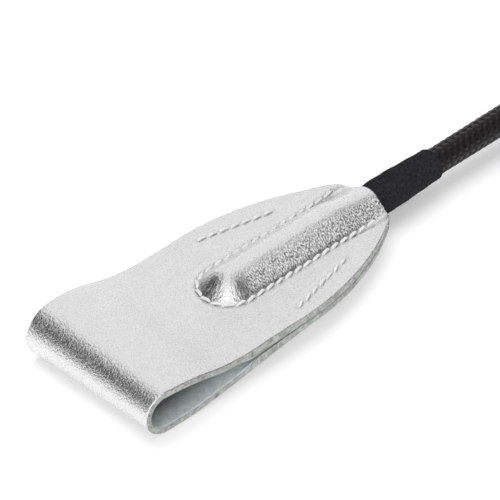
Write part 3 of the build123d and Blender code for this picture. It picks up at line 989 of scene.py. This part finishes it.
# ---- The shaft's braid ----
def braid_outer(station):
    """The sleeve's radius: an even taper, as the CAD has it."""
    front, back = stations("braid_sleeve")
    low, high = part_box("braid_sleeve")
    wide = (high.y - low.y) / 2 / MM
    growth = wide - SLEEVE_FRONT_RADIUS
    return SLEEVE_FRONT_RADIUS + growth * (np.asarray(station) - front) / (back - front)


def braid_stations():
    """Stations of the braid's rings, close together only where its yarns show."""
    front, back = stations("braid_sleeve")
    shown_to = stations("grip_whipping")[0] + 1.5
    step = BRAID_PITCH / BRAID_STRANDS / YARN_STEPS
    shown = np.arange(BRAID_SHOWN_FROM, shown_to, step)
    under_whipping = np.linspace(front, BRAID_SHOWN_FROM - step, 12)
    under_grip = np.linspace(shown_to + step, back, 12)
    return np.concatenate((under_whipping, shown, under_grip))


def yarn(phase):
    """The height of the nearest yarn's round top, and that yarn's number."""
    number = np.round(phase)
    return YARN_HEIGHT * np.sqrt(np.maximum(1 - (2 * np.abs(phase - number)) ** 2, 0)), number


def build_braid():
    station = braid_stations()
    around = BRAID_STRANDS * YARN_STEPS
    angle = circle(around)[None, :]
    turn = 2 * math.pi * (station[:, None] - BRAID_SHOWN_FROM) / BRAID_PITCH
    first = (angle - turn) * BRAID_STRANDS / (2 * math.pi)
    second = (angle + turn) * BRAID_STRANDS / (2 * math.pi)
    first_height, first_yarn = yarn(first)
    second_height, second_yarn = yarn(second)
    first_height = first_height + YARN_SWAY * np.cos(math.pi * (second + first_yarn))
    second_height = second_height - YARN_SWAY * np.cos(math.pi * (first + second_yarn))
    height = np.maximum(first_height, second_height)
    shown = smooth(station, BRAID_SHOWN_FROM - 1, BRAID_SHOWN_FROM)[:, None]
    radius = braid_outer(station)[:, None] + (height - 0.06) * shown
    radius[0] *= 0.93
    on_top = first_height > second_height
    own = joined(station[:, None], np.where(on_top, first, second), np.where(on_top, 0.0, 1.0))
    rings = turned(station, radius, around)[:, ::-1]
    piece = tube_piece("shaft_braid", rings, [NYLON], {"spun": own[:, ::-1].reshape(-1, 3)})
    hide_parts("braid_sleeve")
    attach(piece, "shaft")


build_braid()


# ---- Whippings: thread wound close, in one long turn ----
def wound(name, node, outline, shown, pitch, around=80):
    """A winding of thread over an outline of (station, radius), with its turns shown."""
    station, radius = (np.array(values, float) for values in zip(*outline))
    before = np.linspace(station[0], shown[0], 8, endpoint=False) if shown[0] > station[0] else []
    fine = np.arange(shown[0], shown[1], pitch / 6)
    at = np.concatenate((before, fine, [shown[1]]))
    plain = np.interp(at, station, radius)[:, None]
    angle = circle(around)[None, :]
    phase = at[:, None] / pitch - angle / (2 * math.pi)
    turn_number = np.floor(phase)
    loose = np.sin(turn_number * 12.9898) * 0.05 + np.sin(turn_number * 4.1 + angle * 2) * 0.04
    ridge = np.sqrt(np.maximum(1 - (2 * (phase % 1) - 1) ** 2, 0)) - 0.75
    showing = np.where(at[:, None] >= shown[0], 1.0, 0.0)
    size = plain + showing * (ridge * pitch * 0.42 + loose)
    own = joined(angle * 6, at[:, None], turn_number)
    front, back = (turned([end], [2.0], around) for end in (at[0], at[-1]))
    rings = np.concatenate((front, turned(at, size, around), back))
    own = np.concatenate((own[:1], own, own[-1:]))
    piece = tube_piece(name, rings[:, ::-1], [BLACK_THREAD], {"spun": own[:, ::-1].reshape(-1, 3)})
    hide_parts(node)
    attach(piece, "shaft")


whipping_front, whipping_back = stations("tip_whipping")
wound(
    "tip_whipping_thread",
    "tip_whipping",
    (
        (whipping_front, 3.9),
        (whipping_front + 1.2, WHIPPING_RADIUS),
        (TAIL_END - 16, WHIPPING_RADIUS),
        (TAIL_END - 7, 4.0),
        (TAIL_END - 2.5, 4.2),
        (TAIL_END, WHIPPING_RADIUS),
        (TAIL_END + 6, WHIPPING_RADIUS),
        (whipping_back - 0.5, WHIPPING_END_RADIUS + 0.3),
        (whipping_back, WHIPPING_END_RADIUS + 0.1),
    ),
    (TAIL_END - 6, whipping_back),
    WHIPPING_THREAD,
)


def whipping_fuzz(count=1500):
    """Short fluff standing off the whipping behind the tongue."""
    station = rng.uniform(TAIL_END - 1.5, whipping_back, count)
    angle = rng.uniform(0, 2 * math.pi, count)
    radius = WHIPPING_RADIUS - 0.75 * smooth(station, TAIL_END + 6, whipping_back) - 0.05
    points = place(station, radius * np.cos(angle), radius * np.sin(angle))
    outward = np.cos(angle)[:, None] * across + np.sin(angle)[:, None] * upward
    turning = -np.sin(angle)[:, None] * across + np.cos(angle)[:, None] * upward
    lean = rng.normal(0, 0.9, (count, 1)) * turning + rng.normal(0, 0.5, (count, 1)) * along
    lengths = rng.uniform(0.25, 0.7, count)
    fuzz = hairs("tip_whipping_fuzz", points, unit(outward + lean), lengths, 0.03, BLACK_THREAD, "spun")
    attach(fuzz, "shaft")


whipping_fuzz()

grip_front, cap_face = stations("grip_cover")
lead_start, grip_whipping_back = stations("grip_whipping")
grip_radius = (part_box("grip_cover")[1].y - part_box("grip_cover")[0].y) / 2 / MM
wound(
    "grip_whipping_thread",
    "grip_whipping",
    (
        (lead_start, float(braid_outer(lead_start)) + 0.5),
        (lead_start + 8, 6.8),
        (grip_front, grip_radius + 0.75),
        (grip_whipping_back - 0.6, grip_radius + 0.75),
        (grip_whipping_back, grip_radius + 0.4),
    ),
    (lead_start, grip_whipping_back),
    0.6,
    around=112,
)


# ---- Grip cover: a sleeve of leather, closed by a seam underneath ----
def build_grip():
    """A sleeve over the grip's core, sunk and puckered along its seam."""
    around = 128
    cap_front = stations("butt_cap")[0]
    front_edge = grip_front + np.array((0.0, 0.15, 0.4))
    body = np.arange(grip_front + 1, cap_front + 1, 0.9)
    run = np.concatenate((front_edge, body, [cap_face]))
    at = run[:, None]
    angle = circle(around)[None, :]
    from_seam = np.abs((angle - 1.5 * math.pi + math.pi) % (2 * math.pi) - math.pi) * grip_radius
    groove = 0.32 * np.exp(-((from_seam / 0.55) ** 2))
    groove = groove - 0.10 * np.exp(-(((from_seam - 1.6) / 0.8) ** 2))
    pucker = 0.06 * np.cos(2 * math.pi * at / STITCH_PITCH) * np.exp(-((from_seam / 1.8) ** 2))
    uneven = 0.07 * wave(at + 0 * angle, 8 * np.cos(angle) + 0 * at, 14.0, 21)
    radius = grip_radius - 0.02 - groove + pucker + uneven
    radius = np.where(at > cap_front - 0.5, np.minimum(radius, grip_radius), radius)
    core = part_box("grip_core")[1].y / MM + 0.05
    front, back = (turned([end], [core], around) for end in (run[0], run[-1]))
    rings = np.concatenate((front, turned(run, radius, around), back))
    own = joined(at, angle * grip_radius, 40.0)
    own = np.concatenate((own[:1], own, own[-1:]))
    piece = tube_piece(
        "grip_leather",
        rings[:, ::-1],
        [SILVER],
        {"hide": own[:, ::-1].reshape(-1, 3), "stretch": np.zeros(own.shape[0] * around)},
    )
    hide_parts("grip_cover")
    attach(piece, "shaft")


build_grip()


def grip_stitch(middle, slant_reach=1.3, slant_side=0.95):
    """A slanted stitch across the seam under the grip."""
    share = np.linspace(-1, 1, STITCH_STEPS)
    side = slant_side * share
    lift = 0.24 - 0.5 * np.abs(share) ** 5
    height = -np.sqrt(grip_radius**2 - side**2) - lift
    path = np.stack((middle + slant_reach * share * 0.75, side, height), axis=-1)
    ring, own = capsule(path, np.array((0, 0, -1.0)), 0.36)
    return placed(ring), own


def build_grip_stitches():
    low, high = stations("grip_seam_thread")
    count = round((high - low) / STITCH_PITCH)
    places = low + (np.arange(count) + 0.5) * (high - low) / count
    piece = stitched("grip_seam_stitches", [grip_stitch(at) for at in places], WHITE_THREAD)
    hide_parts("grip_seam_thread")
    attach(piece, "shaft")


build_grip_stitches()


# ---- Wrist strap ----
STRAP_WIDTH = 10.0
STRAP_THICKNESS = 1.8
STRAP_GAP = 0.1  # between its two legs
STRAP_LEG = 45.0
STRAP_FLARE = math.radians(28)  # of each leg, where the loop opens
FLARE_RADIUS = 40.0
LOOP_RADIUS = 30.0
STRAP_CORNER = 0.45


def strap_middle():
    """Middle line of the strap, as run and side, from one round end to the other."""
    leg = (STRAP_GAP + STRAP_THICKNESS) / 2
    lift = FLARE_RADIUS * (1 - math.cos(STRAP_FLARE))
    straight = (LOOP_RADIUS * math.cos(STRAP_FLARE) - leg - lift) / math.sin(STRAP_FLARE)
    round_end = np.linspace(0, math.pi / 2, 10)
    start = joined(-STRAP_WIDTH / 2 * np.cos(round_end), leg)
    legs = joined(np.arange(1, STRAP_LEG + 1, 1.0), leg)
    bend = np.linspace(0, STRAP_FLARE, 26)[1:]
    flare_side = leg + FLARE_RADIUS * (1 - np.cos(bend))
    flare = joined(STRAP_LEG + FLARE_RADIUS * np.sin(bend), flare_side)
    steps = np.linspace(0, straight, 34)[1:, None]
    rising = flare[-1] + steps * (math.cos(STRAP_FLARE), math.sin(STRAP_FLARE))
    centre = rising[-1] + LOOP_RADIUS * np.array((math.sin(STRAP_FLARE), -math.cos(STRAP_FLARE)))
    turn = np.linspace(STRAP_FLARE, -math.pi / 2, 60)[1:]
    far = joined(centre[0] - LOOP_RADIUS * np.sin(turn), centre[1] + LOOP_RADIUS * np.cos(turn))
    half = np.concatenate((start, legs, flare, rising, far))
    return np.concatenate((half, half[-2::-1] * (1, -1)))


def strap_section():
    """The strap's outline as (across, through, material): 0 silver, 1 cut edge, 2 flesh side."""
    half = STRAP_WIDTH / 2
    thick = STRAP_THICKNESS / 2
    flat = np.linspace(-(half - STRAP_CORNER), half - STRAP_CORNER, 15)
    creased = 0.10 * np.exp(-(((np.abs(flat) - (half - 1.3)) / 0.28) ** 2))
    shoulder = half - 0.12
    high = thick - 0.13
    flank = thick - STRAP_CORNER
    section = [(w, thick - crease, 0) for w, crease in zip(flat, creased)]
    section += [(shoulder, high, 0), (half, flank, 1), (half, -flank, 1), (shoulder, -high, 1)]
    section += [(w, -thick, 2) for w in flat[::-1]]
    section += [(-shoulder, -high, 2), (-half, -flank, 1), (-half, flank, 1), (-shoulder, high, 1)]
    return section


def build_strap():
    line = strap_middle()
    count = len(line)
    steps = distances(line)
    tangent = unit(np.gradient(line, axis=0))
    normal = joined(-tangent[:, 1], tangent[:, 0])
    free = smooth(line[:, 0], 52, 90)
    line = line + normal * (0.9 * free * wave(steps, 0 * steps, 34.0, 31))[:, None]
    section = strap_section()
    around = len(section)
    end_run = np.minimum(line[:, 0], 0)
    narrow = np.sqrt(np.clip(1 - (end_run / (STRAP_WIDTH / 2)) ** 2, 0.0004, 1))
    rings = np.zeros((count, around, 3))
    own = np.zeros((count, around, 3))
    for number, (w, t, kind) in enumerate(section):
        point = line + normal * t
        rings[:, number] = strap_place(point[:, 0], point[:, 1], w * narrow)
        own[:, number] = joined(steps, w, 60.0 + kind)
    kinds = [kind for w, t, kind in section] * (count - 1) + [1, 1]
    piece = mesh_piece(
        "wrist_strap_leather",
        rings,
        tube_faces(count, around),
        [SILVER, CUT_EDGE, SUEDE],
        kinds,
        {"hide": own.reshape(-1, 3), "stretch": np.zeros(count * around)},
    )
    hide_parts("wrist_strap")
    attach(piece, "wrist_loop")


build_strap()


# ---- Keeper: a band of leather round both legs of the strap ----
def rounded_rectangle(half_side, half_height, corner, steps=7):
    """Points round a rectangle with round corners, with their outward directions."""
    points, outward = [], []
    for quarter, (a, b) in enumerate(((1, 1), (-1, 1), (-1, -1), (1, -1))):
        centre = np.array((a * (half_side - corner), b * (half_height - corner)))
        for angle in np.linspace(0, math.pi / 2, steps) + quarter * math.pi / 2:
            direction = np.array((math.cos(angle), math.sin(angle)))
            points.append(centre + corner * direction)
            outward.append(direction)
    return np.array(points), np.array(outward)


KEEPER_LENGTH = 8.0
KEEPER_WALL = 1.6
KEEPER_FACE = ((0, 0), (0.6, 0), (0.72, 0.1), (0.85, 0), (0.95, 0.1), (1.0, 0.35))  # (share, drop)


def keeper_section():
    """The keeper's outline as (share of half its length, height) and its materials."""
    left = [(-share, drop) for share, drop in KEEPER_FACE[:0:-1]]
    band = [(share, KEEPER_WALL / 2 - drop) for share, drop in (*left, *KEEPER_FACE)]
    under = [(share, -KEEPER_WALL / 2) for share in (1.0, 0.0, -1.0)]
    return band + under, [0] * (len(band) - 1) + [1] + [2] * 2 + [1]


def build_keeper():
    low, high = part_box("strap_keeper")
    middle = np.array(((low.x + high.x) / 2, 0, (low.z + high.z) / 2))
    run_middle = (middle - rivet) @ strap_along / MM
    half_side = (high.y - low.y) / 2 / MM
    half_height = STRAP_WIDTH / 2 + 0.3 + KEEPER_WALL / 2
    line, outward = rounded_rectangle(half_side - KEEPER_WALL / 2, half_height, 1.3)
    section, kinds = keeper_section()
    around = len(section)
    rings = np.zeros((len(line), around, 3))
    own = np.zeros((len(line), around, 3))
    perimeter = distances(line)
    for number, (share, thick) in enumerate(section):
        point = line + outward * thick
        run = share * KEEPER_LENGTH / 2
        rings[:, number] = strap_place(run_middle + run, point[:, 0], point[:, 1])
        own[:, number] = joined(run, perimeter, 90 + kinds[number])
    faces = grid_faces(len(line), around, wrap=True)
    last = (len(line) - 1) * around
    faces += [(last + n, last + (n + 1) % around, (n + 1) % around, n) for n in range(around)]
    piece = mesh_piece(
        "keeper_leather",
        rings,
        [face[::-1] for face in faces],
        [SILVER, CUT_EDGE, SUEDE],
        kinds * len(line),
        {"hide": own.reshape(-1, 3), "stretch": np.zeros(len(line) * around)},
    )
    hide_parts("strap_keeper")
    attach(piece, "keeper")
    build_keeper_stitches(run_middle, half_side)


def build_keeper_stitches(run_middle, half_side):
    share = np.linspace(-1, 1, STITCH_STEPS)
    side = -half_side - 0.22 + 0.5 * np.abs(share) ** 5
    stitches = []
    for number in (-1, 0, 1):
        path = joined(run_middle, side, number * STITCH_PITCH + share * 1.35)
        ring, spun = capsule(path, np.array((0, -1.0, 0)), 0.34)
        stitches.append((strap_placed(ring), spun))
    piece = stitched("keeper_stitches", stitches, WHITE_THREAD)
    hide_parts("keeper_thread")
    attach(piece, "keeper")


build_keeper()


# ---- CAD pieces that stay, with their materials ----
finishes = {
    "core_rod": GLASS_FIBRE,
    "grip_core": BEECH,
    "butt_cap": PLATED,
    "cap_screw": STEEL,
    "strap_rivet": STEEL,
}
for node, material in finishes.items():
    mesh = frame["nodes"][node].data
    mesh.materials.clear()
    mesh.materials.append(material)


# ---- Floor, light and camera ----
FLOOR_HALF = 4.0  # metres
LAMP_PLACE = (0.0, 0.25, 1.25)  # metres from what it lights
CAMERA_AZIMUTH = math.radians(-44.1)
CAMERA_ELEVATION = math.radians(39.0)
CAMERA_DISTANCE = 1.0  # metres
CAMERA_LENS = 289.7


def build_floor():
    material, tree, shader = new_material("studio_floor")
    look = {
        "Base Color": grey(0.89),
        "Roughness": 0.9,
        "Specular IOR Level": 0.1,
        "Emission Color": grey(1),
        "Emission Strength": 0.25,
    }
    connect(tree, shader, look)
    half = FLOOR_HALF
    corners = [(-half, -half, 0), (half, -half, 0), (half, half, 0), (-half, half, 0)]
    floor = mesh_piece("floor", corners, [(0, 1, 2, 3)], [material])


def gradient(tree, value, start, end):
    """A smooth change between two (position, value) pairs."""
    limits = {"From Min": start[0], "From Max": end[0], "To Min": start[1], "To Max": end[1]}
    limits["Value"] = value
    node = add_node(tree, "ShaderNodeMapRange", limits, interpolation_type="SMOOTHSTEP")
    return node.outputs[0]


def build_world():
    """A bright room, dark low down on both sides and lighter behind the camera."""
    world = bpy.data.worlds.new("studio")
    bpy.context.scene.world = world
    world.use_nodes = True
    tree = world.node_tree
    background = tree.nodes["Background"]
    direction = add_node(tree, "ShaderNodeTexCoord").outputs["Generated"]
    parts = add_node(tree, "ShaderNodeSeparateXYZ", {0: direction}).outputs
    cross = maths(tree, "MULTIPLY", maths(tree, "SUBTRACT", parts["X"], parts["Y"]), 0.7071)
    facing = maths(tree, "MULTIPLY", maths(tree, "ADD", parts["X"], parts["Y"]), -0.7071)
    flat = maths(tree, "SQRT", maths(tree, "SUBTRACT", 1.0001, maths(tree, "POWER", parts["Z"], 2.0)))
    side = maths(tree, "DIVIDE", maths(tree, "ABSOLUTE", cross), flat)
    dim_side = gradient(tree, side, (0.42, 0.0), (0.80, 1.0))
    low_down = gradient(tree, parts["Z"], (0.78, 1.0), (0.97, 0.0))
    behind = gradient(tree, facing, (0.25, 0.0), (0.75, 0.65))
    dark = maths(tree, "MULTIPLY", dim_side, low_down)
    level = mix_numbers(tree, dark, 0.96, 0.05)
    tree.links.new(maths(tree, "ADD", level, behind), background.inputs["Strength"])
    background.inputs["Color"].default_value = grey(1)


def build_lamp():
    lamp = bpy.data.lights.new("ceiling", "AREA")
    lamp.shape = "DISK"
    lamp.size = 1.2
    lamp.energy = 6.5
    ceiling = bpy.data.objects.new("ceiling", lamp)
    aim = Vector(place(52.0, 0.0, 0.0).tolist())
    ceiling.location = aim + Vector(LAMP_PLACE)
    ceiling.rotation_euler = (aim - ceiling.location).to_track_quat("-Z", "Y").to_euler()
    ceiling.visible_glossy = False
    bpy.context.scene.collection.objects.link(ceiling)


def build_camera():
    flat = math.cos(CAMERA_ELEVATION)
    back_x = math.sin(CAMERA_AZIMUTH) * flat
    back_y = -math.cos(CAMERA_AZIMUTH) * flat
    back = Vector((back_x, back_y, math.sin(CAMERA_ELEVATION)))
    right = Vector((math.cos(CAMERA_AZIMUTH), math.sin(CAMERA_AZIMUTH), 0))
    up = back.cross(right)
    tongue_point = Vector(place(52.2, 0.0, 0.0).tolist())
    aim = tongue_point + right * 2.26 * MM + up * 8.23 * MM
    camera_data = bpy.data.cameras.new("camera")
    camera_data.lens = CAMERA_LENS
    camera_data.sensor_width = 36.0
    camera_data.clip_start = 0.01
    camera_data.clip_end = 20.0
    camera = bpy.data.objects.new("camera", camera_data)
    camera.location = aim + back * CAMERA_DISTANCE
    camera.rotation_euler = back.to_track_quat("Z", "Y").to_euler()
    bpy.context.scene.collection.objects.link(camera)
    bpy.context.scene.camera = camera


build_floor()
build_world()
build_lamp()
build_camera()
bpy.context.scene.view_settings.view_transform = "Standard"
